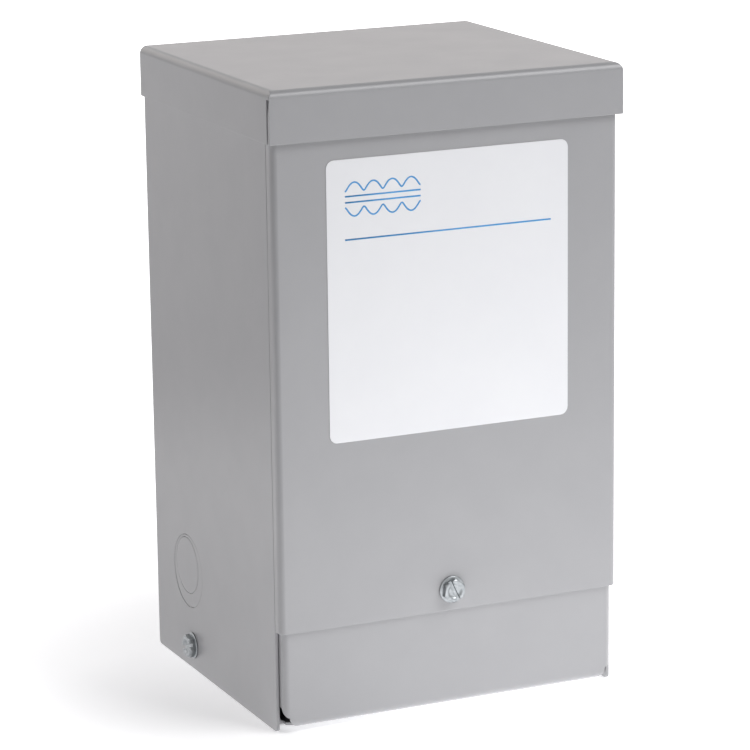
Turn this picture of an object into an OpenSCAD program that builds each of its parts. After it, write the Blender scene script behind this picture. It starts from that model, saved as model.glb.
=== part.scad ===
// Small dry-type transformer: a potted core and coil in a folded sheet-steel wall-mount case.
// Z is up, the front faces -Y and the wall is behind the part, on +Y.
// The origin is on the ground, in the middle of the part's outline.

/* [Case] */
// Height from the bottom edges of the side panels to the top of the cap
height = 237; // [190:1:300]
// Width across the side lips of the cap
cap_w = 140; // [120:1:180]
// Depth from the front lip of the cap to the back of the case
cap_d = 125; // [105:1:160]
// Thickness of the sheet steel
sheet = 1.2; // [0.9:0.1:1.6]
// Clearance between sheet-steel pieces that nest or meet
fit = 0.2; // [0.1:0.05:0.4]
// Outside radius of the folds in the back panel, the cover and the pan
fold_r = 2.4; // [2:0.1:3.5]
// Corner radius at the bottom of the side panels
panel_r = 1.5; // [0.5:0.5:4]
// Width of the flanges folded forward from the back panel
back_flange = 12; // [8:0.5:14]

/* [Top cap] */
// Height of the lips of the cap
cap_lip = 19; // [12:0.5:28]
// Outside radius of the bends in the cap
cap_r = 3; // [2:0.25:4]
// Width of the open seam between the front lip and each side lip
cap_seam = 1; // [0.4:0.1:2]

/* [Front cover] */
// Height of the bottom edge of the cover
cover_z = 38.5; // [30:0.5:50]
// Gap between the front lip of the cap and the face of the cover
cover_gap = 0.6; // [0.3:0.1:1.5]
// How far the face of the cover stands proud of the side panels' front edges
cover_proud = 5.3; // [3.5:0.1:7]
// Height of the cover's screw above the bottom edge of the cover
cover_screw_rise = 8; // [6:0.5:10]

/* [Bottom pan] */
// Height of the underside of the pan above the side panels' bottom edges
pan_lift = 2; // [0.5:0.1:5]
// Height of the side and rear flanges of the pan
pan_flange = 18; // [15:0.5:20]
// Radius at the lower corners of the apron
apron_r = 4; // [2.5:0.5:8]
// How far the tongue of the apron reaches up behind the cover
tongue_h = 16; // [13:0.5:20]
// Gap at the corners of the pan between one flange and the next
pan_notch = 3; // [1:0.5:6]
// Height of the pan's side screws above the underside of the pan
pan_screw_rise = 7.4; // [6.5:0.1:9]
// Distance of the pan's side screws from the back of the case
pan_screw_back = 36; // [25:1:60]

/* [Knockouts] */
// Diameter of the outer ring of a knockout, for the larger conduit fitting
ko_large_d = 28.6; // [27:0.1:30]
// Diameter of the slug of a knockout, for the smaller conduit fitting
ko_small_d = 22.2; // [20:0.1:23]
// How far the slug lies off the centre of its ring
ko_shift = 2.2; // [0:0.1:2.4]
// Direction in which the slug lies off the centre, up from the direction of the back
ko_turn = 65; // [0:5:180]
// Width of the sheared line around the slug and the ring
ko_gap = 0.25; // [0.1:0.05:0.3]
// Width of the ties that hold the slug and the ring
ko_tie = 2.5; // [1:0.25:4]
// Distance of the side knockouts from the back of the case
ko_back = 33; // [30:1:50]
// Height of the side knockouts above the side panels' bottom edges
ko_z = 38.5; // [36:0.5:45]
// Distance between the two knockouts in the floor of the pan
ko_floor_pitch = 58; // [40:1:66]

/* [Screws] */
// Diameter of the shank of a screw
screw_d = 4.2; // [3:0.1:5]
// Length of a screw under its head
screw_len = 9.5; // [6:0.5:14]
// Diameter of the washer formed on the head
washer_d = 10.2; // [8:0.1:12]
// Thickness of that washer
washer_t = 0.9; // [0.6:0.1:1.4]
// Width of the hexagon across its flats
hex_af = 7.9; // [6:0.1:8]
// Height of the whole head
head_h = 3; // [2.4:0.1:4]
// Width of the slot in the head
slot_w = 1.3; // [0.8:0.1:1.6]
// Depth of the slot in the head
slot_depth = 1.3; // [0.6:0.1:1.5]
// Room around a shank in a clearance hole
screw_room = 1; // [0.5:0.1:1.5]
// Room around a shank in a tapped hole
tap_room = 0.1; // [0.05:0.05:0.2]

/* [Label] */
// Width of the rating label
label_w = 96; // [60:1:100]
// Height of the rating label
label_h = 103; // [60:1:120]
// Corner radius of the rating label
label_r = 3; // [1:0.5:8]
// Thickness of the rating label
label_t = 0.2; // [0.1:0.05:0.25]
// Distance from the top of the label down from the lip of the cap
label_drop = 7.5; // [2:0.5:20]

/* [Mounting rails] */
// Depth of the rails behind the back panel
rail_depth = 6; // [5:0.5:10]
// Thickness of the rails
rail_t = 1.5; // [1.2:0.1:2]
// Length of the rails across the back
rail_len = 108; // [96:1:112]
// Width of the raised crown of a rail
rail_crown = 26; // [24:0.5:34]
// Width of each flange of a rail
rail_flange = 9; // [6:0.5:12]
// Outside radius of the folds in a rail
rail_r = 2.5; // [2.1:0.1:3.5]
// Distance of the middle of the upper rail below the top of the cap
rail_drop = 45; // [25:1:80]
// Height of the middle of the lower rail
rail_lower_z = 46; // [44:0.5:60]
// Distance between the two holes in a rail
mount_pitch = 76; // [60:1:80]
// Diameter of the round wall holes
mount_hole_d = 7; // [5:0.1:9]
// Diameter of the wide end of a keyhole
key_head_d = 12; // [10:0.1:13]
// Width of the narrow end of a keyhole
key_slot_w = 6.4; // [5:0.1:8]
// Rise from the wide end of a keyhole to its narrow end
key_rise = 9; // [7:0.5:10]

/* [Core and coil] */
// Height of the wiring compartment under the potted core
wiring_h = 78; // [68:1:110]
// Gap between the potted core and the inside of the cover
core_gap = 3; // [1:0.5:10]
// Radius of the upright edges of the potted core
core_r = 5; // [2:0.5:10]

/* [Hidden] */
$fn = 64;

// Half widths, from the outside in: cap, side panels, what nests between the side panels
case_half = cap_w / 2 - sheet - fit;
panel_half = case_half - sheet;
nest_half = panel_half - fit;
flat_half = nest_half - fold_r;

// Places from front to back
head_reach = max(0, head_h - sheet - cover_gap);
front_y = head_reach - (head_reach + cap_d + rail_depth) / 2;
back_y = front_y + cap_d;
cover_y = front_y + sheet + cover_gap;
panel_y = cover_y + cover_proud;
apron_y = cover_y + sheet + fit;
pan_back_y = back_y - sheet - fit;
pan_side_y = panel_y + pan_notch;

// Heights
lip_z = height - cap_lip;
panel_top = height - cap_r;
cover_screw_z = cover_z + cover_screw_rise;
pan_screw_z = pan_lift + pan_screw_rise;
flange_z = pan_lift + pan_flange + fit;
label_z = lip_z - label_drop - label_h;
core_z = pan_lift + sheet + wiring_h;
core_top = height - 2 * sheet - fit;
rail_upper_z = height - rail_drop;

paint = [0.64, 0.64, 0.65];
zinc = [0.80, 0.80, 0.82];

// Outline of a block on the X axis whose lower corners are rounded
module round_foot(w, h, r) {
    translate([-w / 2, r]) square([w, h - r]);
    translate([r - w / 2, 0]) square([w - 2 * r, h]);
    for (side = [-1, 1]) translate([side * (w / 2 - r), r]) circle(r);
}

// Outline of a block in the first quadrant whose corner at the origin is rounded
module round_corner(w, h, r) {
    translate([0, r]) square([w, h - r]);
    translate([r, 0]) square([w - r, h]);
    translate([r, r]) circle(r);
}

// Section of a sheet folded up once, with legs along X and Y
module ell(a, b, r, t) {
    difference() {
        round_corner(a, b, r);
        translate([t, t]) round_corner(a, b, r - t);
    }
}

// Section of a sheet folded up on both sides
module channel(w, h, r, t) {
    difference() {
        round_foot(w, h, r);
        translate([0, t]) round_foot(w - 2 * t, h, r - t);
    }
}

// Outline of a plate with all four corners rounded, centred
module round_plate(w, h, r) {
    square([w, h - 2 * r], center = true);
    square([w - 2 * r, h], center = true);
    for (x = [-1, 1], z = [-1, 1]) translate([x * (w / 2 - r), z * (h / 2 - r)]) circle(r);
}

// An outline drawn in X and Z, extruded back from y
module along_y(y, len) {
    translate([0, y + len, 0]) rotate([90, 0, 0]) linear_extrude(len) children();
}

// An outline drawn in Y and Z, extruded sideways from x
module along_x(x, len) {
    translate([x, 0, 0]) rotate([90, 0, 90]) linear_extrude(len) children();
}

// An outline drawn in X and Y, extruded up from z
module along_z(z, len) {
    translate([0, 0, z]) linear_extrude(len) children();
}

// Places a piece that points along +Z so that it points into the case from the left side
module on_left(y, z) {
    translate([-case_half, y, z]) rotate([90, 0, 90]) children();
}

// Places a piece that points along +Z so that it points into the case from the front
module on_front(x, y, z) {
    translate([x, y, z]) rotate([-90, 0, 0]) children();
}

// Hex head with a formed washer and a slot across two flats, seated at z = 0, its shank along +Z
module screw(turn) {
    rotate(turn) difference() {
        union() {
            translate([0, 0, -washer_t]) cylinder(d = washer_d, h = washer_t);
            translate([0, 0, -head_h]) intersection() {
                rotate(30) cylinder(d = hex_af / cos(30), h = head_h, $fn = 6);
                cylinder(d1 = hex_af, d2 = hex_af + 2 * head_h, h = head_h);
            }
        }
        translate([-washer_d / 2, -slot_w / 2, -head_h - slot_depth])
            cube([washer_d, slot_w, 2 * slot_depth]);
    }
    cylinder(d = screw_d, h = screw_len - screw_d / 2);
    translate([0, 0, screw_len - screw_d / 2]) cylinder(d1 = screw_d, d2 = screw_d / 2, h = screw_d / 2);
}

// Ties that bridge the sheared line just inside a hole of diameter d, on two sides
module knockout_ties(d, turn) {
    linear_extrude(sheet) intersection() {
        difference() {
            circle(d = d);
            circle(d = d - 2 * ko_gap);
        }
        rotate(turn) square([d, ko_tie], center = true);
    }
}

// Moves to the centre of the slug, off the centre of its ring
module slug_place() {
    translate([ko_shift * cos(ko_turn), ko_shift * sin(ko_turn), 0]) children();
}

// Ring that is knocked out together with its slug
module knockout_ring() {
    difference() {
        cylinder(d = ko_large_d - 2 * ko_gap, h = sheet);
        slug_place() translate([0, 0, -sheet]) cylinder(d = ko_small_d, h = 3 * sheet);
    }
    knockout_ties(ko_large_d, ko_turn);
}

// Slug that is knocked out by itself
module knockout_slug() {
    slug_place() {
        cylinder(d = ko_small_d - 2 * ko_gap, h = sheet);
        knockout_ties(ko_small_d, ko_turn + 90);
    }
}

// Hole that the ring of a knockout fills
module knockout_hole() {
    translate([0, 0, -sheet]) cylinder(d = ko_large_d, h = 3 * sheet);
}

// Places the left or right knockout in the floor of the pan
module in_floor(side) {
    translate([side * ko_floor_pitch / 2, back_y - ko_back - ko_large_d / 2, pan_lift]) children();
}

// Places the knockout in the left side panel
module in_left_side() {
    on_left(back_y - ko_back, ko_z) children();
}

// Places the screw that holds the pan to the left side panel
module at_left_screw() {
    on_left(back_y - pan_screw_back, pan_screw_z) children();
}

// Flat side panel with a knockout and a screw hole
module side_panel() {
    color(paint) difference() {
        along_x(-case_half, sheet)
            translate([(panel_y + back_y) / 2, 0]) round_foot(back_y - panel_y, panel_top, panel_r);
        in_left_side() knockout_hole();
        at_left_screw() translate([0, 0, -sheet]) cylinder(d = screw_d + screw_room, h = 3 * sheet);
    }
}

module left_side_panel() {
    side_panel();
}

module right_side_panel() {
    mirror([1, 0, 0]) side_panel();
}

// Back sheet with flanges folded forward along both sides and the top
module back_panel() {
    color(paint) difference() {
        union() {
            along_z(flange_z, panel_top - flange_z)
                translate([0, back_y]) mirror([0, 1]) channel(2 * nest_half, back_flange, fold_r, sheet);
            translate([-nest_half, back_y - sheet, 0]) cube([2 * nest_half, sheet, flange_z]);
            along_x(fold_r - flat_half, 2 * (flat_half - fold_r))
                translate([back_y, height - sheet])
                    rotate(180) ell(back_flange, back_flange, fold_r, sheet);
        }
        wall_holes(mount_hole_d);
    }
}

// Cutters for the two wall holes through the lower rail and the back panel
module wall_holes(d) {
    for (side = [-1, 1])
        on_front(side * mount_pitch / 2, back_y - 2 * sheet, rail_lower_z)
            cylinder(d = d, h = rail_depth + 3 * sheet);
}

// Block with the rounded edges of the folded cap, its lips reaching down by h
module cap_block(w, y, h, r) {
    intersection() {
        along_y(y, back_y - y) mirror([0, 1]) round_foot(w, h, r);
        along_x(-w / 2, w) translate([y, 0]) mirror([0, 1]) round_corner(back_y - y, h, r);
    }
}

// Cap folded down at the front and both sides, with an open seam at each front corner
module top_cap() {
    color(paint) translate([0, 0, height]) difference() {
        cap_block(cap_w, front_y, cap_lip, cap_r);
        translate([0, 0, -sheet])
            cap_block(cap_w - 2 * sheet, front_y + sheet, cap_lip, cap_r - sheet);
        for (side = [0, 1])
            mirror([side, 0, 0])
                translate([-cap_w / 2 - sheet, front_y + sheet, -cap_lip - sheet])
                    cube([2 * sheet + fit, cap_seam, cap_lip + sheet - cap_r]);
    }
}

// Cover folded back along both sides, flush with the side panels and ending at their front edges
module front_cover() {
    color(paint) difference() {
        along_z(cover_z, panel_top - cover_z)
            translate([0, cover_y]) channel(2 * case_half, cover_proud - fit, fold_r, sheet);
        on_front(0, cover_y - sheet, cover_screw_z) cylinder(d = screw_d + screw_room, h = 3 * sheet);
    }
}

// Bottom pan with a front apron, whose tongue takes the screw of the cover
module bottom_pan() {
    color(paint) difference() {
        union() {
            pan_strip();
            pan_sides();
            pan_apron();
        }
        for (side = [-1, 1]) in_floor(side) knockout_hole();
        for (side = [0, 1]) mirror([side, 0, 0]) at_left_screw() cylinder(d = screw_d + tap_room, h = screw_len);
        on_front(0, cover_y, cover_screw_z) cylinder(d = screw_d + tap_room, h = screw_len);
    }
}

// Middle strip of the pan: tongue, floor and rear flange
module pan_strip() {
    along_x(-flat_half, 2 * flat_half) {
        translate([apron_y, pan_lift])
            ell((pan_back_y - apron_y) / 2, cover_z + tongue_h - pan_lift, fold_r, sheet);
        translate([pan_back_y, pan_lift])
            mirror([1, 0]) ell((pan_back_y - apron_y) / 2, pan_flange, fold_r, sheet);
    }
}

// Floor of the pan with its two side flanges
module pan_sides() {
    along_y(pan_side_y, pan_back_y - fold_r - pan_notch - pan_side_y)
        translate([0, pan_lift]) channel(2 * nest_half, pan_flange, fold_r, sheet);
}

// Full width of the apron below the cover, its lower corners rounded
module pan_apron() {
    apron_h = cover_z - fit - pan_lift;
    intersection() {
        along_x(-nest_half, 2 * nest_half)
            translate([apron_y, pan_lift]) ell(panel_y - apron_y, apron_h, fold_r, sheet);
        along_y(apron_y - sheet, panel_y - apron_y + 2 * sheet)
            translate([0, pan_lift]) round_foot(2 * nest_half, apron_h, apron_r);
    }
}

// Blank label on the face of the cover
module rating_label() {
    color("white") along_y(cover_y - label_t, label_t)
        translate([0, label_z + label_h / 2]) round_plate(label_w, label_h, label_r);
}

// Core and coil, potted as one block against the back panel
module potted_core() {
    core_half = nest_half - sheet - fit;
    core_front = cover_y + sheet + core_gap;
    core_len = back_y - sheet - core_front;
    color([0.16, 0.16, 0.17]) along_z(core_z, core_top - core_z)
        translate([0, core_front + core_len / 2]) round_plate(2 * core_half, core_len, core_r);
}

// Hat section that stands the case off the wall, centred at z
module rail(z) {
    along_x(-rail_len / 2, rail_len) translate([back_y, z]) rotate(-90) {
        translate([0, rail_depth]) mirror([0, 1]) difference() {
            round_foot(rail_crown, rail_depth, rail_r);
            translate([0, rail_t]) round_foot(rail_crown - 2 * rail_t, rail_depth, rail_r - rail_t);
        }
        for (side = [-1, 1])
            translate([side * (rail_crown / 2 + rail_flange / 2 - rail_t / 2), rail_t / 2])
                square([rail_flange + rail_t, rail_t], center = true);
    }
}

// Keyhole, its wide end at the origin and its narrow end above it
module keyhole() {
    depth = rail_depth + rail_t;
    on_front(0, 0, 0) cylinder(d = key_head_d, h = depth);
    on_front(0, 0, key_rise) cylinder(d = key_slot_w, h = depth);
    translate([-key_slot_w / 2, 0, 0]) cube([key_slot_w, depth, key_rise]);
}

module upper_mounting_rail() {
    color(paint) difference() {
        rail(rail_upper_z);
        for (side = [-1, 1])
            translate([side * mount_pitch / 2, back_y + rail_t, rail_upper_z - key_rise / 2]) keyhole();
    }
}

module lower_mounting_rail() {
    color(paint) difference() {
        rail(rail_lower_z);
        wall_holes(mount_hole_d);
    }
}

module front_cover_screw() {
    color(zinc) on_front(0, cover_y, cover_screw_z) screw(65);
}

module left_pan_screw() {
    color(zinc) at_left_screw() screw(20);
}

module right_pan_screw() {
    color(zinc) mirror([1, 0, 0]) at_left_screw() screw(75);
}

module left_knockout_ring() {
    color(paint) in_left_side() knockout_ring();
}

module left_knockout_slug() {
    color(paint) in_left_side() knockout_slug();
}

module right_knockout_ring() {
    color(paint) mirror([1, 0, 0]) in_left_side() knockout_ring();
}

module right_knockout_slug() {
    color(paint) mirror([1, 0, 0]) in_left_side() knockout_slug();
}

module floor_left_knockout_ring() {
    color(paint) in_floor(-1) knockout_ring();
}

module floor_left_knockout_slug() {
    color(paint) in_floor(-1) knockout_slug();
}

module floor_right_knockout_ring() {
    color(paint) in_floor(1) knockout_ring();
}

module floor_right_knockout_slug() {
    color(paint) in_floor(1) knockout_slug();
}

left_side_panel();
right_side_panel();
back_panel();
top_cap();
front_cover();
bottom_pan();
rating_label();
potted_core();
upper_mounting_rail();
lower_mounting_rail();
front_cover_screw();
left_pan_screw();
right_pan_screw();
left_knockout_ring();
left_knockout_slug();
right_knockout_ring();
right_knockout_slug();
floor_left_knockout_ring();
floor_left_knockout_slug();
floor_right_knockout_ring();
floor_right_knockout_slug();
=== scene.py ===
import math

import bpy
import numpy as np
from mathutils import Matrix, Vector


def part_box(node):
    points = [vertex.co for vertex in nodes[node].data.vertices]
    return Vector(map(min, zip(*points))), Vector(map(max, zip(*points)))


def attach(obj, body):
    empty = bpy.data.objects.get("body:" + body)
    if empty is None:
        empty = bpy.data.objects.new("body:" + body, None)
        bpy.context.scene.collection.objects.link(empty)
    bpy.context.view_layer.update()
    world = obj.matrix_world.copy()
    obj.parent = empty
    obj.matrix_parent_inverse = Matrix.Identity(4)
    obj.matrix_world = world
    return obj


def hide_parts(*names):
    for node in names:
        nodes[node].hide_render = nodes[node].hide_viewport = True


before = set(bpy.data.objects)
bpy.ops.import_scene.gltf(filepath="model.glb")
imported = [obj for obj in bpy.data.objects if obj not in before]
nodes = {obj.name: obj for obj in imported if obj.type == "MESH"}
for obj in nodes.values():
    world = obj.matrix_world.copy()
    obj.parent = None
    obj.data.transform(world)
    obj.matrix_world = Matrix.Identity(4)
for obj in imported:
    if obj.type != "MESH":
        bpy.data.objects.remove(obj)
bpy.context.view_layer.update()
mm = 0.001
scene = bpy.context.scene
scene.view_settings.view_transform = "Standard"
print("frame loaded:", len(nodes), "nodes")


# camera: the heading, dip and roll that put the case's edges on the photograph's
cameraSet = {
    "heading": 24.48,  # degrees turned from +Y towards +X
    "dip": 13.80,  # degrees below the horizon
    "roll": -0.74,
    "fromLip": (-533.9, -1105.1, 429.8),  # mm from the ground under the front lip's middle
    "lens": 167.5,  # mm
    "sensor": 36.0,  # mm wide
    "nearest": 0.05,  # m, where the view begins
}


def makeCamera():
    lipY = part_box("top_cap")[0].y
    x, y, z = (value * mm for value in cameraSet["fromLip"])
    turn = (
        Matrix.Rotation(math.radians(-cameraSet["heading"]), 4, "Z")
        @ Matrix.Rotation(math.radians(90 - cameraSet["dip"]), 4, "X")
        @ Matrix.Rotation(math.radians(cameraSet["roll"]), 4, "Z")
    )
    data = bpy.data.cameras.new("photoCamera")
    data.lens = cameraSet["lens"]
    data.sensor_width = cameraSet["sensor"]
    data.clip_start = cameraSet["nearest"]
    camera = bpy.data.objects.new("photoCamera", data)
    camera.matrix_world = Matrix.Translation((x, lipY + y, z)) @ turn
    scene.collection.objects.link(camera)
    scene.camera = camera


makeCamera()
print("camera placed")


# shader helpers
def addNode(tree, kind, inputs=None, **settings):
    made = tree.nodes.new(kind)
    for key, value in settings.items():
        setattr(made, key, value)
    for key, value in (inputs or {}).items():
        made.inputs[key].default_value = value
    return made


def wire(tree, source, target):
    tree.links.new(source, target)


def newMaterial(name):
    material = bpy.data.materials.new(name)
    material.use_nodes = True
    tree = material.node_tree
    return material, tree, tree.nodes["Principled BSDF"]


def newGroup(name, inputs, outputs):
    tree = bpy.data.node_groups.new(name, "ShaderNodeTree")
    for way, names in (("INPUT", inputs), ("OUTPUT", outputs)):
        for key in names:
            tree.interface.new_socket(key, in_out=way, socket_type="NodeSocketFloat")
    return tree, addNode(tree, "NodeGroupInput"), addNode(tree, "NodeGroupOutput")


def addMath(tree, operation, first, second=0.0):
    made = addNode(tree, "ShaderNodeMath", operation=operation)
    for socket, value in zip(made.inputs, (first, second)):
        if isinstance(value, (int, float)):
            socket.default_value = value
        else:
            wire(tree, value, socket)
    return made.outputs[0]


# coat skin: fine peel, slow waves and faint mottling, as any sprayed or plated coat has
skinSet = {
    "peel": {"Detail": 2.0, "Roughness": 0.5},
    "wave": {"Detail": 1.0, "Roughness": 0.4},
    "mottle": {"Detail": 4.0, "Roughness": 0.6},
    "toneFrom": {"From Min": 0.3, "From Max": 0.7},  # levels of the mottling that set the tone
}


def makeCoatSkin():
    tree, given, put = newGroup(
        "coatSkin",
        ("Peel Size", "Peel Depth", "Wave Size", "Wave Depth", "Mottle Size"),
        ("Tone", "Height"),
    )
    place = addNode(tree, "ShaderNodeTexCoord")
    level = {}
    for key in ("peel", "wave", "mottle"):
        noise = addNode(tree, "ShaderNodeTexNoise", skinSet[key])
        wire(tree, place.outputs["Object"], noise.inputs["Vector"])
        wire(tree, given.outputs[key.capitalize() + " Size"], noise.inputs["Scale"])
        level[key] = noise.outputs["Fac"]
    peelHeight = addMath(tree, "MULTIPLY", level["peel"], given.outputs["Peel Depth"])
    waveHeight = addMath(tree, "MULTIPLY", level["wave"], given.outputs["Wave Depth"])
    wire(tree, addMath(tree, "ADD", peelHeight, waveHeight), put.inputs["Height"])
    tone = addNode(tree, "ShaderNodeMapRange", skinSet["toneFrom"])
    wire(tree, level["mottle"], tone.inputs["Value"])
    wire(tree, tone.outputs["Result"], put.inputs["Tone"])
    return tree


coatSkin = makeCoatSkin()


# coats: two tones and two roughnesses, mixed by the skin, whose height is the bump
coatLooks = {
    "greyEnamel": {
        "tones": ((0.385, 0.385, 0.396), (0.372, 0.372, 0.384)),
        "rough": (0.30, 0.33),
        "bump": 0.01,  # mm
        "skin": {
            "Peel Size": 700.0, "Peel Depth": 0.25,
            "Wave Size": 16.0, "Wave Depth": 0.8, "Mottle Size": 60.0,
        },
    },
    "zincPlate": {
        "tones": ((0.33, 0.345, 0.355), (0.23, 0.245, 0.255)),
        "rough": (0.26, 0.44),
        "bump": 0.004,
        "metal": 1.0,
        "skin": {
            "Peel Size": 2600.0, "Peel Depth": 1.0,
            "Wave Size": 500.0, "Wave Depth": 1.0, "Mottle Size": 700.0,
        },
    },
    "labelFilm": {
        "tones": ((0.860, 0.866, 0.885), (0.840, 0.846, 0.870)),
        "rough": (0.30, 0.38),
        "bump": 0.004,
        "skin": {
            "Peel Size": 1500.0, "Peel Depth": 0.2,
            "Wave Size": 25.0, "Wave Depth": 1.0, "Mottle Size": 40.0,
        },
    },
    "labelInk": {
        "tones": ((0.055, 0.32, 0.68), (0.045, 0.29, 0.63)),
        "rough": (0.36, 0.46),
        "bump": 0.002,
        "skin": {
            "Peel Size": 3000.0, "Peel Depth": 1.0,
            "Wave Size": 100.0, "Wave Depth": 0.5, "Mottle Size": 900.0,
        },
    },
    "pottingResin": {
        "tones": ((0.030, 0.030, 0.032), (0.018, 0.018, 0.019)),
        "rough": (0.30, 0.55),
        "bump": 0.08,
        "skin": {
            "Peel Size": 260.0, "Peel Depth": 0.6,
            "Wave Size": 40.0, "Wave Depth": 1.0, "Mottle Size": 90.0,
        },
    },
}


def makeCoated(name, look):
    material, tree, shader = newMaterial(name)
    skin = addNode(tree, "ShaderNodeGroup", look["skin"], node_tree=coatSkin)
    tone = addNode(tree, "ShaderNodeMix", data_type="RGBA")
    for key, colour in zip(("A", "B"), look["tones"]):
        tone.inputs[key].default_value = (*colour, 1)
    wire(tree, skin.outputs["Tone"], tone.inputs["Factor"])
    wire(tree, tone.outputs["Result"], shader.inputs["Base Color"])
    smooth, dull = look["rough"]
    rough = addNode(tree, "ShaderNodeMapRange", {"To Min": smooth, "To Max": dull})
    wire(tree, skin.outputs["Tone"], rough.inputs["Value"])
    wire(tree, rough.outputs["Result"], shader.inputs["Roughness"])
    bump = addNode(tree, "ShaderNodeBump", {"Strength": 1.0, "Distance": look["bump"] * mm})
    wire(tree, skin.outputs["Height"], bump.inputs["Height"])
    wire(tree, bump.outputs["Normal"], shader.inputs["Normal"])
    shader.inputs["Metallic"].default_value = look.get("metal", 0.0)
    return material


coats = {name: makeCoated(name, look) for name, look in coatLooks.items()}
print("materials made:", ", ".join(coats))


# mesh helpers: a piece is a few point grids in mm, welded where their edges meet
weldDigits = 4  # points that agree to this many decimals of a mm become one
slack = 1e-3  # mm, room in tests of place


def boxMm(node):
    low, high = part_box(node)
    return np.array(low) / mm, np.array(high) / mm


def spread(*axes):
    return np.stack(np.broadcast_arrays(*axes), axis=-1)


def bothSides(values):
    return np.unique(np.concatenate([-values, values]))


def skinMesh(name, grids):
    # each grid is (points, whether its columns close on themselves, the way it faces)
    allPoints, allFaces, count = [], [], 0
    for points, wrap, facing in grids:
        index = np.arange(points.shape[0] * points.shape[1]).reshape(points.shape[:2])
        if wrap:
            index = np.hstack([index, index[:, :1]])
        around = [index[:-1, :-1], index[:-1, 1:], index[1:, 1:], index[1:, :-1]]
        faces = np.stack(around, -1).reshape(-1, 4)
        flat = points.reshape(-1, 3)
        first, second, third, fourth = (flat[faces[:, k]] for k in range(4))
        across = np.cross(third - first, fourth - second)
        if facing is None:  # closed shape: its volume has to be positive
            turned = np.einsum("ij,ij->", across, flat[faces].mean(1)) < 0
        else:
            turned = across.sum(0) @ np.array(facing, float) < 0
        allPoints.append(flat)
        allFaces.append((faces[:, ::-1] if turned else faces) + count)
        count += len(flat)
    points, faces = np.concatenate(allPoints), np.concatenate(allFaces)
    rounded = np.round(points, weldDigits)
    kept, back = np.unique(rounded, axis=0, return_index=True, return_inverse=True)[1:]
    faces = back.reshape(-1)[faces]
    doubled = faces == np.roll(faces, -1, axis=1)  # a quad at a pole keeps three corners
    quads = faces[doubled.sum(1) == 0]
    pole = doubled.sum(1) == 1
    corners = faces[pole][~doubled[pole]].reshape(-1, 3)
    mesh = bpy.data.meshes.new(name)
    mesh.from_pydata(points[kept] * mm, [], quads.tolist() + corners.tolist())
    mesh.polygons.foreach_set("use_smooth", np.ones(len(mesh.polygons), bool))
    mesh.update()
    return mesh


def addPiece(name, grids, coat, slot, *replaced):
    item = bpy.data.objects.new(name, skinMesh(name, grids))
    item.data.materials.append(coats[coat])
    scene.collection.objects.link(item)
    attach(item, "root")
    if replaced:
        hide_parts(*replaced)
    return item


def addWall(item, thick):
    wall = item.modifiers.new("wall", "SOLIDIFY")
    wall.thickness = thick * mm
    wall.offset = -1
    wall.use_even_offset = True


def addEven(item):
    even = item.modifiers.new("even", "WEIGHTED_NORMAL")
    even.keep_sharp = False


def addRound(item, width, fromAngle, segments=2):
    soft = item.modifiers.new("round", "BEVEL")
    soft.width = width * mm
    soft.segments = segments
    soft.limit_method = "ANGLE"
    soft.angle_limit = math.radians(fromAngle)
    soft.use_clamp_overlap = False
    addEven(item)


# flat plates
plateSet = {
    "apart": 0.4,  # mm, the least distance from a ray's end to a point that has to stay
    "crowding": 1.6,  # above 1 the rows crowd near the hole
    "parallel": 1e-12,  # below this a ray runs along an edge
}


# rays from a centre, equally spaced, to where they leave a convex outline; its corners and
# any extra points of it are kept, hits close to those are left out, and all are in angle order
def rayOutline(corners, centre, count, extra=()):
    corners, centre = np.array(corners, float), np.array(centre, float)
    start, edge = corners - centre, np.roll(corners, -1, axis=0) - corners
    angle = np.linspace(-math.pi, math.pi, count, endpoint=False) + 0.5 * math.pi / count
    ray = np.stack([np.cos(angle), np.sin(angle)], -1)[:, None]
    area = ray[..., 0] * edge[:, 1] - ray[..., 1] * edge[:, 0]
    area = np.where(np.abs(area) < plateSet["parallel"], plateSet["parallel"], area)
    along = (start[:, 0] * edge[:, 1] - start[:, 1] * edge[:, 0]) / area
    share = (start[:, 0] * ray[..., 1] - start[:, 1] * ray[..., 0]) / area
    good = (along > 0) & (share >= 0) & (share <= 1)
    reach = np.where(good, along, np.inf).min(1)
    hits = centre + reach[:, None] * ray[:, 0]
    kept = np.concatenate([corners, np.reshape(extra, (-1, 2))])
    kept = kept[np.unique(np.round(kept, weldDigits + 1), axis=0, return_index=True)[1]]
    gap = np.linalg.norm(hits[:, None] - kept, axis=-1).min(1)
    points = np.concatenate([hits[gap > plateSet["apart"]], kept])
    around = np.arctan2(points[:, 1] - centre[1], points[:, 0] - centre[0])
    return points[np.argsort(around)]


# flat plate with one hole: straight lines run from the hole's edge to the outline's points
def holedCell(outline, centre, radius, rows):
    way = outline - np.array(centre, float)
    around = np.arctan2(way[:, 1], way[:, 0])
    size = radius(around) if callable(radius) else np.full(len(around), radius)
    ray = np.stack([np.cos(around), np.sin(around)], -1)
    hole = np.array(centre) + size[:, None] * ray
    share = np.linspace(0, 1, rows)[:, None, None] ** plateSet["crowding"]
    return hole + share * (outline - hole)


def onEdge(outline, axis, value):
    # the other coordinate of the outline's points on one straight edge, in order
    return np.sort(outline[np.abs(outline[:, axis] - value) < slack, 1 - axis])


# folded sheet: grids give its outer face, the wall grows inwards, and raw edges are rounded
sheetSet = {
    "thick": 1.2,
    "edge": 0.2,  # how far paint and shearing round a raw edge
    "sharpFrom": 50,  # degrees, more than a step of a fold and less than a raw edge
    "fold": 2.4,  # outside radius of a fold
    "foldSteps": 9,
}


def foldTurn(steps=sheetSet["foldSteps"]):
    turn = np.linspace(0, math.pi / 2, steps)
    return np.sin(turn), np.cos(turn)


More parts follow.
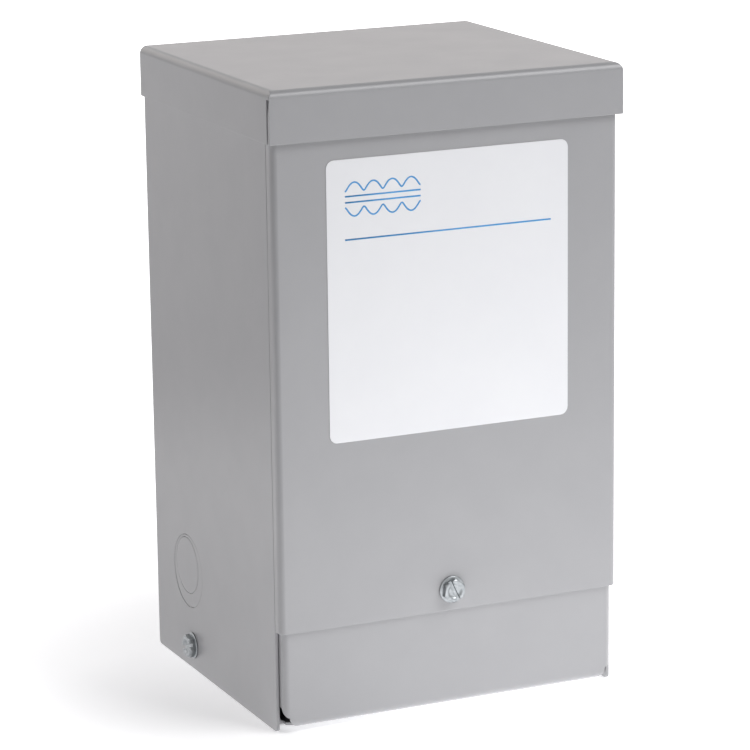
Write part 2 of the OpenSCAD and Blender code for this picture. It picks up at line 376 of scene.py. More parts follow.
def addSheet(name, grids, node, thick=sheetSet["thick"]):
    sheet = addPiece(name, grids, "greyEnamel", "grey_paint", node)
    addWall(sheet, thick)
    addRound(sheet, sheetSet["edge"], sheetSet["sharpFrom"])


# front cover: a flat face around the screw hole, folded back by a quarter turn along both sides
coverSet = {"screwRise": 8.0, "hole": 2.6, "rays": 72, "rows": 6}


def makeCover():
    low, high = boxMm("front_cover")
    fold, flat = sheetSet["fold"], high[0] - sheetSet["fold"]
    corners = [(-flat, low[2]), (flat, low[2]), (flat, high[2]), (-flat, high[2])]
    screw = (0, low[2] + coverSet["screwRise"])
    outline = rayOutline(corners, screw, coverSet["rays"])
    cell = holedCell(outline, screw, coverSet["hole"], coverSet["rows"])
    grids = [(spread(cell[..., 0], low[1], cell[..., 1]), True, (0, -1, 0))]
    sine, cosine = foldTurn()
    for side in (-1, 1):
        pathX = side * np.append(flat + fold * sine, high[0])
        pathY = np.append(low[1] + fold - fold * cosine, high[1])
        heights = onEdge(outline, 0, side * flat)
        grids.append((spread(pathX, pathY, heights[:, None]), False, (side, -1, 0)))
    addSheet("coverSheet", grids, "front_cover")


# side panel: two plates in one plane, one around the knockout and one around the screw
panelSet = {
    "cornerRound": 1.5,
    "cornerSteps": 6,
    "split": 21.0,  # height of the line between the two plates
    "knockout": {"fromBack": 33.0, "height": 38.5, "radius": 14.3, "rays": 96},
    "screw": {"fromBack": 36.0, "height": 9.4, "radius": 2.6, "rays": 48},
    "rows": 5,
}


def makeSidePanel(side, name, node):
    low, high = boxMm(node)
    y0, y1, z1, x = low[1], high[1], high[2], high[0] if side > 0 else low[0]
    split, r = panelSet["split"], panelSet["cornerRound"]
    knockout, screw = panelSet["knockout"], panelSet["screw"]
    upper = [(y0, split), (y1, split), (y1, z1), (y0, z1)]
    sine, cosine = foldTurn(panelSet["cornerSteps"])
    lower = np.concatenate([
        np.stack([y0 + r - r * cosine, r - r * sine], -1),
        np.stack([y1 - r + r * sine, r - r * cosine], -1),
        [(y1, split), (y0, split)],
    ])
    plates = [
        (corners, (y1 - hole["fromBack"], hole["height"]), hole)
        for corners, hole in ((upper, knockout), (lower, screw))
    ]
    # both plates keep the points that either has on the line between them
    shared = np.unique(np.concatenate([
        onEdge(rayOutline(corners, hub, hole["rays"]), 1, split) for corners, hub, hole in plates
    ]))
    grids = []
    for corners, hub, hole in plates:
        outline = rayOutline(corners, hub, hole["rays"], spread(shared, split))
        cell = holedCell(outline, hub, hole["radius"], panelSet["rows"])
        grids.append((spread(x, cell[..., 0], cell[..., 1]), True, (side, 0, 0)))
    addSheet(name, grids, node)


# top cap: a flat top whose front and sides turn down by a quarter circle; the turns meet in a
# mitre at the front corners, and below the turn an open seam parts the front lip from the sides
capSet = {
    "bend": 3.0,
    "bendSteps": 11,
    "seam": 1.0,
    "evenFrom": 9.0,  # from the front to the first of the even rows behind the mitre
    "across": 25,
    "along": 21,
    "lipRows": 4,
}


def makeCap():
    low, high = boxMm("top_cap")
    r, half, top, front = capSet["bend"], high[0], high[2], low[1]
    sine, cosine = foldTurn(capSet["bendSteps"])
    share = np.linspace(-1, 1, capSet["across"])
    seam = sheetSet["thick"] + capSet["seam"]
    far = np.linspace(front + capSet["evenFrom"], high[1], capSet["along"])
    lip = np.linspace(low[2], top - r, capSet["lipRows"])[:, None]
    reach = (half - r + r * sine)[:, None]
    start = (front + r - r * sine)[:, None]
    drop = (top - r + r * cosine)[:, None]
    topRows = np.hstack([front + r, front + r + seam, far])[:, None]
    grids = [
        (spread(reach * share, start, drop), False, (0, -1, 1)),
        (spread(half * share, front, lip), False, (0, -1, 0)),
        (spread((half - r) * share, topRows, top), False, (0, 0, 1)),
    ]
    rows = np.hstack([start, start + seam, np.broadcast_to(far, (len(sine), len(far)))])
    for side in (-1, 1):
        grids.append((spread(side * reach, rows, drop), False, (side, 0, 1)))
        lipRow = np.append(front + seam, far)
        grids.append((spread(side * half, lipRow, lip), False, (side, 0, 0)))
    addSheet("capSheet", grids, "top_cap")


# bottom pan: a floor with two knockout holes, folded up into an apron with rounded lower corners
# and sides folded back, a tongue behind the cover, two side flanges and a rear flange
panSet = {
    "apronTop": 38.3,
    "apronRound": 4.0,
    "apronSteps": 5,
    "apronReturn": 5.4,  # depth of the apron's folded sides
    "apronRise": 4.0,  # how far their lower edge rises to the rear
    "flange": 18.0,
    "notch": 3.0,  # from the side panels' front edge, or the rear fold, to the side flanges
    "knockoutPitch": 58.0,
    "knockoutFromBack": 45.9,  # from the rear face of the pan to the knockouts' centres
    "knockoutRadius": 14.3,
    "rays": 96,
    "rows": 5,
}


def makePan():
    low, high = boxMm("bottom_pan")
    fold, half, r = sheetSet["fold"], high[0], panSet["apronRound"]
    flat, z0 = half - fold, low[2]
    front, rear = low[1] + fold, high[1] - fold
    sideFront = boxMm("left_side_panel")[0][1] + panSet["notch"]
    sideRear = rear - panSet["notch"]
    hub = (panSet["knockoutPitch"] / 2, high[1] - panSet["knockoutFromBack"])
    # right half of the floor, its front corner cut off where the apron's round begins
    corners = [(0, front), (flat - r, front), (flat, front + r / 2), (flat, rear), (0, rear)]
    outline = rayOutline(corners, hub, panSet["rays"], [(flat, sideFront), (flat, sideRear)])
    cell = holedCell(outline, hub, panSet["knockoutRadius"], panSet["rows"])
    sideRows = onEdge(outline, 0, flat)
    sideRows = sideRows[(sideRows > sideFront - slack) & (sideRows < sideRear + slack)]
    sine, cosine = foldTurn()
    outX = np.append(flat + fold * sine, half)
    upZ = np.append(z0 + fold - fold * cosine, z0 + panSet["flange"])
    rearX, rearY = bothSides(onEdge(outline, 1, rear)), np.append(rear + fold * sine, high[1])
    grids = [(spread(rearX, rearY[:, None], upZ[:, None]), False, (0, 1, -1))]
    # apron: half its flat width follows a quarter circle near the bottom, then stays
    frontX, apronTop = bothSides(onEdge(outline, 1, front)), panSet["apronTop"]
    rise = np.linspace(z0 + fold, z0 + r, panSet["apronSteps"])[1:]
    apronZ = np.concatenate([z0 + fold - fold * cosine, rise, [apronTop]])
    apronY = np.concatenate([front - fold * sine, np.full(len(rise) + 1, low[1])])
    dip = np.clip(r - (apronZ - z0), 0, r)
    width = (flat - r + np.sqrt(r * r - dip * dip))[:, None]
    inner = np.broadcast_to(frontX, (len(apronZ), len(frontX)))
    columns = np.hstack([-width, inner, width])
    grids.append((spread(columns, apronY[:, None], apronZ[:, None]), False, (0, -1, 0)))
    tongueZ = np.array([apronTop, high[2]])[:, None]
    grids.append((spread(columns[-1], low[1], tongueZ), False, (0, -1, 0)))
    returnY = low[1] + np.append(fold - fold * cosine, panSet["apronReturn"])
    returnFoot = z0 + r + panSet["apronRise"] * np.linspace(0, 1, len(returnY)) ** 2
    returnZ = np.stack([returnFoot, np.full(len(returnY), apronTop)])
    for side in (-1, 1):
        grids += [
            (spread(side * cell[..., 0], cell[..., 1], z0), True, (0, 0, -1)),
            (spread(side * outX, sideRows[:, None], upZ), False, (side, 0, -1)),
            (spread(side * outX, returnY, returnZ), False, (side, -1, 0)),
        ]
    addSheet("panSheet", grids, "bottom_pan")


# back panel: two plates around the wall holes, side flanges folded forward above the pan,
# plain edges beside the pan, and a flange folded forward along the top
backSet = {
    "flange": 12.0,
    "plainBelow": 20.2,
    "topInset": 4.8,  # from the side edge to the end of the top flange
    "hole": 3.5,
    "holePitch": 76.0,
    "holeHeight": 46.0,
    "rays": 72,
    "rows": 6,
}


def makeBack():
    low, high = boxMm("back_panel")
    fold, half, rear, top = sheetSet["fold"], high[0], high[1], high[2]
    flat, plain, brim = half - fold, backSet["plainBelow"], top - fold
    inset = half - backSet["topInset"]
    hub = (backSet["holePitch"] / 2, backSet["holeHeight"])
    corners = [(0, low[2]), (flat, low[2]), (flat, brim), (0, brim)]
    outline = rayOutline(corners, hub, backSet["rays"], [(flat, plain), (inset, brim)])
    cell = holedCell(outline, hub, backSet["hole"], backSet["rows"])
    sine, cosine = foldTurn()
    heights = onEdge(outline, 0, flat)
    upper = heights[heights > plain - slack][:, None]
    lower = heights[heights < plain + slack][:, None]
    outX = np.append(flat + fold * sine, half)
    pathY = np.append(rear - fold + fold * cosine, rear - backSet["flange"])
    grids = []
    for side in (-1, 1):
        grids += [
            (spread(side * cell[..., 0], rear, cell[..., 1]), True, (0, 1, 0)),
            (spread(side * outX, pathY, upper), False, (side, 1, 0)),
            (spread(side * np.array([flat, half]), rear, lower), False, (0, 1, 0)),
        ]
    across = onEdge(outline, 1, brim)
    across = bothSides(across[across < inset + slack])
    pathZ = np.append(brim + fold * sine, top)
    grids.append((spread(across, pathY[:, None], pathZ[:, None]), False, (0, 1, 1)))
    addSheet("backSheet", grids, "back_panel")


# mounting rail: a hat section carried across the back; its crown is two plates around two holes,
# and small dents mark the spot welds along both flanges
railSet = {
    "thick": 1.5,
    "crown": 26.0,
    "bend": 2.5,
    "root": 1.2,  # inside radius between web and flange
    "bendSteps": 7,
    "flangeRows": 15,
    "pitch": 76.0,
    "holeRadius": 3.5,
    "keyhole": {"head": 6.0, "slot": 3.2, "rise": 9.0},
    "welds": (-45, -15, 15, 45),
    "weldSize": 2.4,
    "weldDepth": 0.45,
    "weldFlatness": 4,
    "step": 1.0,
    "rays": 72,
    "rows": 5,
}


# keyhole edge: the farthest of the head circle, the slot's sides and the slot's round end
def keyholeRadius(around):
    key = railSet["keyhole"]
    sine, cosine = np.sin(around), np.cos(around)
    inside = key["slot"] ** 2 - (key["rise"] * cosine) ** 2
    end = np.where(inside > 0, key["rise"] * sine + np.sqrt(np.maximum(inside, 0)), 0)
    side = key["slot"] / np.maximum(np.abs(cosine), plateSet["parallel"])
    side = np.where((sine > 0) & (side * sine < key["rise"]), side, 0)
    return np.maximum.reduce([np.full(len(around), key["head"]), end, side])


def makeRail(name, node, holeRise, radius):
    low, high = boxMm(node)
    middle, half = (low[2] + high[2]) / 2, high[0]
    base, top, crown = low[1], high[1], railSet["crown"] / 2
    bend, root, thick = railSet["bend"], railSet["root"], railSet["thick"]
    edge = crown - bend
    hub = (railSet["pitch"] / 2, holeRise)
    even = np.arange(0, half, railSet["step"])
    extra = np.concatenate([spread(even, -edge), spread(even, edge)])
    corners = [(0, -edge), (half, -edge), (half, edge), (0, edge)]
    outline = rayOutline(corners, hub, railSet["rays"], extra)
    cell = holedCell(outline, hub, radius, railSet["rows"])
    grids = []
    for side in (-1, 1):
        face = spread(side * cell[..., 0], top, middle + cell[..., 1])
        grids.append((face, True, (0, 1, 0)))
    # crown bend, web, root bend, flange: distance from the middle and distance from the panel
    sine, cosine = foldTurn(railSet["bendSteps"])
    foot, flangeEnd = crown + root, (high[2] - low[2]) / 2
    flange = np.linspace(foot, flangeEnd, railSet["flangeRows"] + 1)[1:]
    pathZ = np.concatenate([edge + bend * sine, foot - root * cosine, flange])
    flangeY = np.full(len(flange), base + thick)
    crownY, rootY = top - bend + bend * cosine, base + thick + root - root * sine
    pathY = np.concatenate([crownY, rootY, flangeY])
    weldZ = (foot + flangeEnd) / 2
    for way in (-1, 1):
        columns = bothSides(onEdge(outline, 1, way * edge))
        grid = spread(columns, pathY[:, None], (middle + way * pathZ)[:, None]).copy()
        for weldX in railSet["welds"]:
            away = np.hypot(columns - weldX, (pathZ - weldZ)[:, None]) / railSet["weldSize"]
            dent = railSet["weldDepth"] * np.exp(-away ** railSet["weldFlatness"])
            grid[..., 1] -= np.where((pathZ > foot)[:, None], dent, 0)
        grids.append((grid, False, (0, 1, way)))
    addSheet(name, grids, node, thick)


# potted core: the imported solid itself; its loose triangles are welded, flat faces joined and
# the edges rounded a little
coreSet = {"round": 0.4, "sharpFrom": 40, "weld": 0.001, "flatWithin": 0.2}


def makeCore():
    item = nodes["potted_core"]
    item.data.materials.clear()
    item.data.materials.append(coats["pottingResin"])
    weld = item.modifiers.new("weld", "WELD")
    weld.merge_threshold = coreSet["weld"] * mm
    plain = item.modifiers.new("plain", "DECIMATE")
    plain.decimate_type = "DISSOLVE"
    plain.angle_limit = math.radians(coreSet["flatWithin"])
    addRound(item, coreSet["round"], coreSet["sharpFrom"])


# knockouts: the sheared line is a little narrower under paint than in bare steel
knockoutSet = {
    "outer": 14.3,
    "slug": 11.1,
    "shift": 2.2,
    "turn": 65.0,  # degrees
    "line": 0.11,
    "tie": 2.5,
    "tieStep": 1e-4,  # radians between the two points at each side of a tie
    "edge": 0.14,
    "edgeSteps": 4,
    "sink": 0.08,  # how far the pressed-back ring and slug lie under the sheet's face
    "steps": 192,
    "faceRows": (0.0, 0.5, 0.9),  # rows of the slug's face, as shares of its rim
    "rearRows": (0.5, 0.0),
}


# radius of a blank with two ties opposite each other: the full radius there, else less by the line
def tiedRadius(around, radius, turn):
    across = np.abs(np.sin(around - turn)) * radius
    return np.where(across < knockoutSet["tie"] / 2, radius, radius - knockoutSet["line"])


def knockoutAngles(turn, radius):
    # even steps, and doubled points on both sides of each tie so that it ends square
    half, step = math.asin(knockoutSet["tie"] / 2 / radius), knockoutSet["tieStep"]
    steps = np.linspace(0, 2 * math.pi, knockoutSet["steps"], endpoint=False)
    beside = np.array([-half - step, -half + step, half - step, half + step])
    ties = np.concatenate([turn + beside, turn + math.pi + beside])
    return np.sort(np.mod(np.concatenate([steps, ties]), 2 * math.pi))


def knockoutProfile(thick):
    # (inset, depth) pairs down a raw edge with both corners rounded
    e, (sine, cosine) = knockoutSet["edge"], foldTurn(knockoutSet["edgeSteps"])
    inset = np.concatenate([e - e * sine, e - e * cosine])
    depth = np.concatenate([e - e * cosine, thick - e + e * sine])
    return inset, depth


def slugCentre(turn):
    return knockoutSet["shift"] * np.array([math.cos(turn), math.sin(turn)])


# ring: a closed rounded section carried around between two circles with different centres
def ringGrid(thick):
    turn = math.radians(knockoutSet["turn"])
    around = knockoutAngles(turn, knockoutSet["outer"])
    ray = np.stack([np.cos(around), np.sin(around)], -1)
    inset, depth = knockoutProfile(thick)
    outer = (tiedRadius(around, knockoutSet["outer"], turn) - inset[:, None])[..., None] * ray
    inner = slugCentre(turn) + (knockoutSet["slug"] + inset[::-1, None])[..., None] * ray
    flat = np.concatenate([outer, inner, outer[:1]])
    level = np.concatenate([depth, depth[::-1], depth[:1]])
    return flat, level


# slug: a disc with a rounded rim, its rows closing on a pole above and one below
def slugGrid(thick):
    turn = math.radians(knockoutSet["turn"])
    tieTurn = turn + math.pi / 2
    around = knockoutAngles(tieTurn, knockoutSet["slug"])
    ray = np.stack([np.cos(around), np.sin(around)], -1)
    inset, depth = knockoutProfile(thick)
    rim = tiedRadius(around, knockoutSet["slug"], tieTurn) - inset[:, None]
    face, rear = (np.array(knockoutSet[key])[:, None] * rim[0] for key in ("faceRows", "rearRows"))
    size = np.concatenate([face, rim, rear])
    level = np.concatenate([np.full(len(face), depth[0]), depth, np.full(len(rear), depth[-1])])
    return slugCentre(turn) + size[..., None] * ray, level


def makeKnockout(prefix, name, place):
    sink = knockoutSet["sink"]
    for part, build in (("Ring", ringGrid), ("Slug", slugGrid)):
        flat, level = build(sheetSet["thick"] - sink)
        grids = [(place(flat[..., 0], flat[..., 1], level[:, None] + sink), True, None)]
        node = f"{name}_{part.lower()}"
        addEven(addPiece(prefix + part, grids, "greyEnamel", "grey_paint", node))


def makeKnockouts():
    hole = panelSet["knockout"]
    panLow, panHigh = boxMm("bottom_pan")
    floorY, floorZ = panHigh[1] - panSet["knockoutFromBack"], panLow[2]
    for side, word in ((-1, "left"), (1, "right")):
        low, high = boxMm(word + "_side_panel")
        x, y, z = high[0] if side > 0 else low[0], high[1] - hole["fromBack"], hole["height"]
        makeKnockout(
            word + "Knockout", word + "_knockout",
            lambda a, b, d: spread(x - side * d, y + a, z + b),
        )
        floorX = side * panSet["knockoutPitch"] / 2
        makeKnockout(
            "floor" + word.capitalize() + "Knockout", f"floor_{word}_knockout",
            lambda a, b, d: spread(floorX + a, floorY + b, floorZ + d),
        )


# screw: a lathed washer and shank, and a slotted hexagon whose top is a height over its plan:
# level, falling at 45 degrees outside the inscribed circle and dished inside the rim
screwSet = {
    "washer": 5.1,
    "washerRise": (0.62, 0.95),  # at the rim, at the hexagon
    "rimSteps": 9,
    "flats": 7.9,
    "height": 3.0,
    "slot": 1.3,
    "slotDepth": 1.3,
    "slotTurns": {"front": -65, "left": 20, "right": 75},  # degrees from level
    "dish": (2.2, 3.0, 0.55),  # inner radius, outer radius, depth
    "shank": 2.1,
    "length": 9.5,
    "round": 0.12,
    "sharpFrom": 35,  # degrees
    "steps": 72,
    "along": 37,
    "across": 9,
}


def washerGrid():
    rim, (edgeRise, rootRise) = screwSet["washer"], screwSet["washerRise"]
    shank, length, r = screwSet["shank"], screwSet["length"], edgeRise / 2
    turn = np.linspace(-math.pi / 2, math.pi / 2, screwSet["rimSteps"])
    radius = np.concatenate([
        [0, shank / 2, shank, shank], rim - r + r * np.cos(turn), [screwSet["flats"] / 2, 0],
    ])
    rise = np.concatenate([
        [-length, -length, shank - length, 0], r + r * np.sin(turn), [rootRise, rootRise],
    ])
    around = np.linspace(0, 2 * math.pi, screwSet["steps"], endpoint=False)
    return spread(radius[:, None] * np.cos(around), radius[:, None] * np.sin(around), rise[:, None])


def headGrids():
    flats, slot, top = screwSet["flats"], screwSet["slot"] / 2, screwSet["height"]
    foot, floor = screwSet["washerRise"][0], top - screwSet["slotDepth"]
    inner, outer, depth = screwSet["dish"]
    v = np.linspace(-flats / 2, flats / 2, screwSet["along"])[:, None]
    wide = flats / math.sqrt(3) - np.abs(v) * math.tan(math.pi / 6)
    u = slot + np.linspace(0, 1, screwSet["across"]) * (wide - slot)

    def topAt(u, v):
        away = np.hypot(u, v)
        share = np.clip((outer - away) / (outer - inner), 0, 1)
        return top - np.maximum(0, away - flats / 2) - depth * share ** 2 * (3 - 2 * share)

    def wallUp(u, v, levels):
        brim = topAt(u, v)
        return spread(u, v, np.stack([*(np.full(len(brim), level) for level in levels), brim]))

    grids = []
    for side in (-1, 1):
        grids += [
            (spread(side * u, v, topAt(u, v)), False, (0, 0, 1)),
            (spread(side * u, v, foot), False, (0, 0, -1)),
            (wallUp(side * wide[:, 0], v[:, 0], (foot, floor)), False, (side, 0, 0)),
            (wallUp(side * slot, v[:, 0], (floor,)), False, (-side, 0, 0)),
        ]
        for end in (0, -1):
            wall = wallUp(side * u[end], np.full(u.shape[1], v[end, 0]), (foot, floor))
            grids.append((wall, False, (0, v[end, 0], 0)))
    strip = np.array([-slot, slot])
    grids.append((spread(strip, v, floor), False, (0, 0, 1)))
    grids.append((spread(strip, v, foot), False, (0, 0, -1)))
    for end in (0, -1):
        wall = spread(strip, v[end, 0], np.array([[foot], [floor]]))
        grids.append((wall, False, (0, v[end, 0], 0)))
    return grids


def makeScrew(name, node, seat, outward, turn):
    # seat is the point under the head, outward the way the head points; the slot turns about it
    outward = np.array(outward, float)
    up = np.array([0, 0, 1.0])
    aside = np.cross(up, outward)
    angle = math.radians(turn)
    slotWay = math.cos(angle) * aside + math.sin(angle) * up
    crossWay = np.cross(slotWay, outward)
    basis = np.stack([crossWay, slotWay, outward])
    grids = [(np.array(seat) + washerGrid() @ basis, True, None)]
    for points, wrap, facing in headGrids():
        grids.append((np.array(seat) + points @ basis, wrap, np.array(facing, float) @ basis))
    screw = addPiece(name, grids, "zincPlate", "zinc_steel", node)
    addRound(screw, screwSet["round"], screwSet["sharpFrom"])


def makeScrews():
    turns, hole = screwSet["slotTurns"], panelSet["screw"]
    coverLow = boxMm("front_cover")[0]
    seat = (0, coverLow[1], coverLow[2] + coverSet["screwRise"])
    makeScrew("coverScrew", "front_cover_screw", seat, (0, -1, 0), turns["front"])
    for side, word in ((-1, "left"), (1, "right")):
        low, high = boxMm(word + "_side_panel")
        seat = (high[0] if side > 0 else low[0], high[1] - hole["fromBack"], hole["height"])
        makeScrew(word + "PanScrew", word + "_pan_screw", seat, (side, 0, 0), turns[word])


# label: a thin film with round corners; each row is the outline drawn in towards the middle
labelSet = {
    "corner": 3.0,
    "cornerSteps": 10,
    "edge": 0.07,
    "filmRows": (0.0, 0.5, 0.95),  # rows of the face, as shares of its rim
    "ink": 0.6,  # width of a printed line
    "inkThick": 0.03,
    "inkSink": 0.015,
    "loops": 4,  # turns of the printed winding
    "loopPitch": 7.4,
    "loopRise": 3.2,
    "loopSway": 0.4,
    "loopSteps": 24,
    "bars": 1.1,  # half distance between the printed core bars
    "windingGap": 2.9,
    "markAt": (22.0, 14.5),  # middle of the sign from the label's left and top edges
    "ruleDrop": 29.0,
    "ruleInset": 7.0,
}


def makeLabel():
    low, high = boxMm("rating_label")
    middle, half = (low + high) / 2, (high - low)[[0, 2]] / 2
    r, e, thick = labelSet["corner"], labelSet["edge"], high[1] - low[1]
    sine, cosine = foldTurn(labelSet["cornerSteps"])
    corner = half - r + r * np.stack([sine, cosine], -1)
    outline = np.concatenate([
        corner, corner[::-1] * (1, -1), corner * (-1, -1), corner[::-1] * (-1, 1),
    ])
    inner = outline * (1 - e / half)
    face = [share * inner for share in labelSet["filmRows"]]
    rows = np.stack([*face, inner, outline, outline, inner, 0 * inner])
    depth = np.append(np.zeros(len(face) + 1), [e, thick - e, thick, thick])
    film = spread(middle[0] + rows[..., 0], (low[1] + depth)[:, None], middle[2] + rows[..., 1])
    addEven(addPiece("labelFilm", [(film, True, None)], "labelFilm", "white_label", "rating_label"))


# printed lines: a flat strip carried along a path of points, as wide as the ink
def inkStrip(path):
    ahead = np.gradient(path, axis=0)
    ahead /= np.linalg.norm(ahead, axis=1, keepdims=True)
    aside = np.stack([-ahead[:, 1], ahead[:, 0]], -1) * labelSet["ink"] / 2
    return np.stack([path - aside, path + aside])


# the sign for a transformer: two windings with two core bars between; a winding is a rolled wave,
# its sideways place swaying with the turn so that the crests are round and the valleys narrow
def makePrint():
    low, high = boxMm("rating_label")
    middle = np.array([low[0] + labelSet["markAt"][0], high[2] - labelSet["markAt"][1]])
    pitch, count = labelSet["loopPitch"], labelSet["loops"]
    half = pitch * count / 2
    turn = np.linspace(0, 2 * math.pi * count, labelSet["loopSteps"] * count + 1)
    sideways = pitch / (2 * math.pi) * (turn - labelSet["loopSway"] * np.sin(turn)) - half
    rise = labelSet["loopRise"] / 2 * (1 - np.cos(turn))
    paths = []
    for way in (-1, 1):
        winding = np.stack([sideways, way * (labelSet["windingGap"] + rise)], -1)
        bar = spread(np.array([-half, half]), way * labelSet["bars"])
        paths += [winding + middle, bar + middle]
    inset, rule = labelSet["ruleInset"], high[2] - labelSet["ruleDrop"]
    paths.append(spread(np.array([low[0] + inset, high[0] - inset]), rule))
    y = low[1] - labelSet["inkThick"] + labelSet["inkSink"]
    strips = [inkStrip(path) for path in paths]
    grids = [(spread(strip[..., 0], y, strip[..., 1]), False, (0, -1, 0)) for strip in strips]
    ink = addPiece("labelPrint", grids, "labelInk", "white_label")
    addWall(ink, labelSet["inkThick"])


makeCover()
makeSidePanel(-1, "leftPanelSheet", "left_side_panel")
makeSidePanel(1, "rightPanelSheet", "right_side_panel")
makeCap()
makePan()
makeRail("upperRail", "upper_mounting_rail", -railSet["keyhole"]["rise"] / 2, keyholeRadius)
makeRail("lowerRail", "lower_mounting_rail", 0.0, railSet["holeRadius"])
makeBack()
makeCore()
print("sheet steel folded, core set")
makeKnockouts()
makeScrews()
print("knockouts and screws set")
makeLabel()
makePrint()
print("label stuck on")


# stage: a pale light table, white to the eye and in reflections, that keeps the part's shadow;
# pools of light in it, which the eye doesn't see, light the part from in front and from the left
stageSet = {
    "floorHalf": 6.0,
    "floorColour": (0.80, 0.80, 0.80, 1),
    "floorRough": 0.8,
    "seenGlow": (0.25, 0.95),  # added for the eye and for reflections, near the part and far off
    "seenReach": (0.25, 2.20),
    "eyeGlow": (0.43, 0.80),  # added for the eye alone, so that the floor is white up to the shadow
    "eyeReach": (0.08, 0.22),
    "glowColour": (0.985, 0.985, 1.0, 1),
    "pools": (  # place, reach of the fade, strength
        ((0.05, -0.16), (0.02, 0.30), 0.62),
        ((0.30, -0.30), (0.05, 0.45), 0.58),
        ((0.05, -0.45), (0.05, 0.50), 0.56),
        ((-0.10, 0.02), (0.10, 0.85), 0.64),
        ((-0.55, 0.15), (0.05, 0.45), 1.45),
    ),
    "dimAt": (-0.285, 0.47),  # a dim patch of the table, in reflections only: a painted dark reflection that shows as a soft band in the left side
    "dimReach": (0.03, 0.17),
    "shade": ((-0.09, -0.04), (0.0, 0.10), 0.26),  # dimmer patch that deepens the left foot's shadow
    "under": ((0.0, 0.005), (0.069, 0.057), 0.004),  # no glow here: middle, half sizes, soft rim
    "world": 0.06,  # light of the room, which is white to the eye and in reflections
}


def seenDirectly(tree):
    # 1 for camera, glossy and transmission rays, 0 for the light that the floor and room give
    path = addNode(tree, "ShaderNodeLightPath")
    seen = addMath(tree, "MAXIMUM", path.outputs["Is Camera Ray"], path.outputs["Is Glossy Ray"])
    return addMath(tree, "MAXIMUM", seen, path.outputs["Is Transmission Ray"])


# how strongly the table glows: pools and glows added up, less the dim patch and the shades
def floorGlow(tree):
    place = addNode(tree, "ShaderNodeTexCoord").outputs["Object"]
    path = addNode(tree, "ShaderNodeLightPath")
    eye, mirrored = path.outputs["Is Camera Ray"], path.outputs["Is Glossy Ray"]

    def fade(at, reach, levels):
        away = addNode(tree, "ShaderNodeVectorMath", operation="DISTANCE")
        away.inputs[1].default_value = (*at, 0)
        wire(tree, place, away.inputs[0])
        keys = ("From Min", "From Max", "To Min", "To Max")
        level = addNode(
            tree, "ShaderNodeMapRange", dict(zip(keys, (*reach, *levels))),
            interpolation_type="SMOOTHSTEP",
        )
        wire(tree, away.outputs["Value"], level.inputs["Value"])
        return level.outputs["Result"]

    seenFade = fade((0, 0), stageSet["seenReach"], stageSet["seenGlow"])
    glow = addMath(tree, "MULTIPLY", seenFade, seenDirectly(tree))
    eyeFade = fade((0, 0), stageSet["eyeReach"], stageSet["eyeGlow"])
    glow = addMath(tree, "ADD", glow, addMath(tree, "MULTIPLY", eyeFade, eye))
    unseen = addMath(tree, "SUBTRACT", 1.0, eye)
    for at, reach, strength in stageSet["pools"]:
        pool = addMath(tree, "MULTIPLY", fade(at, reach, (strength, 0.0)), unseen)
        glow = addMath(tree, "ADD", glow, pool)
    # the dim patch darkens only glossy rays: a painted dark reflection in the left side
    dimFade = fade(stageSet["dimAt"], stageSet["dimReach"], (1.0, 0.0))
    bright = addMath(tree, "SUBTRACT", 1.0, addMath(tree, "MULTIPLY", dimFade, mirrored))
    glow = addMath(tree, "MULTIPLY", glow, bright)
    at, reach, depth = stageSet["shade"]
    glow = addMath(tree, "MULTIPLY", glow, fade(at, reach, (1.0 - depth, 1.0)))
    # no glow under the part: the distance to a rectangle's edge is negative inside it
    middle, half, soft = stageSet["under"]
    axes = addNode(tree, "ShaderNodeSeparateXYZ")
    wire(tree, place, axes.inputs[0])
    away = []
    for k in (0, 1):
        aside = addMath(tree, "ABSOLUTE", addMath(tree, "SUBTRACT", axes.outputs[k], middle[k]))
        away.append(addMath(tree, "SUBTRACT", aside, half[k]))
    clear = addNode(
        tree, "ShaderNodeMapRange", {"From Min": -soft, "From Max": 0.0},
        interpolation_type="SMOOTHSTEP",
    )
    wire(tree, addMath(tree, "MAXIMUM", *away), clear.inputs["Value"])
    return addMath(tree, "MULTIPLY", glow, clear.outputs["Result"])


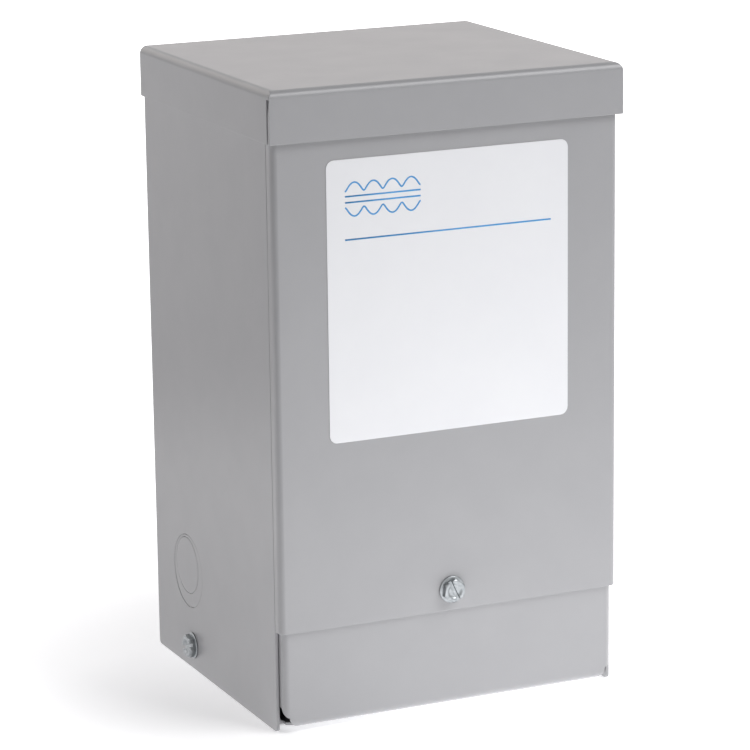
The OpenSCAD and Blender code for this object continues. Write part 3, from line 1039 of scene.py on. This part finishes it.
def makeFloor():
    half = stageSet["floorHalf"]
    mesh = bpy.data.meshes.new("paleFloor")
    corners = half * np.array([(-1, -1, 0), (1, -1, 0), (1, 1, 0), (-1, 1, 0)], float)
    mesh.from_pydata(corners, [], [(0, 1, 2, 3)])
    floor = bpy.data.objects.new("paleFloor", mesh)
    scene.collection.objects.link(floor)
    material, tree, shader = newMaterial("paleFloor")
    shader.inputs["Base Color"].default_value = stageSet["floorColour"]
    shader.inputs["Roughness"].default_value = stageSet["floorRough"]
    shader.inputs["Emission Color"].default_value = stageSet["glowColour"]
    wire(tree, floorGlow(tree), shader.inputs["Emission Strength"])
    mesh.materials.append(material)


# lamps: square and soft, all turned to one point; place and size in m, power in W
lampSet = {
    "keyRight": {"at": (0.85, -0.9, 1.45), "size": 1.0, "power": 20.0, "colour": (0.99, 0.99, 1.0)},
    "fillLeft": {"at": (-1.3, 0.9, 0.9), "size": 1.0, "power": 3.2, "colour": (1.0, 0.93, 0.94)},
    "backRight": {"at": (1.7, 1.2, 0.35), "size": 0.8, "power": 5.0, "colour": (1.0, 0.96, 0.93)},
    "backLeft": {"at": (-0.35, 1.8, 0.85), "size": 0.9, "power": 2.8, "colour": (1.0, 0.94, 0.90)},
    "topGlow": {"at": (0.95, 1.8, 0.60), "size": 0.9, "power": 0.32, "colour": (1.0, 0.58, 0.46)},
}
lampAim = (0, 0, 0.1)


def makeLamps():
    for name, lamp in lampSet.items():
        data = bpy.data.lights.new(name, "AREA")
        data.size = lamp["size"]
        data.energy = lamp["power"]
        data.color = lamp["colour"]
        item = bpy.data.objects.new(name, data)
        item.location = lamp["at"]
        away = Vector(lamp["at"]) - Vector(lampAim)
        item.rotation_euler = away.to_track_quat("Z", "Y").to_euler()
        scene.collection.objects.link(item)


def makeWorld():
    world = bpy.data.worlds.new("softRoom")
    world.use_nodes = True
    scene.world = world
    tree = world.node_tree
    sky = tree.nodes["Background"]
    sky.inputs["Color"].default_value = (1, 1, 1, 1)
    light = addNode(tree, "ShaderNodeMapRange", {"To Min": stageSet["world"], "To Max": 1.0})
    wire(tree, seenDirectly(tree), light.inputs["Value"])
    wire(tree, light.outputs["Result"], sky.inputs["Strength"])


makeFloor()
makeLamps()
makeWorld()
print("stage lit")
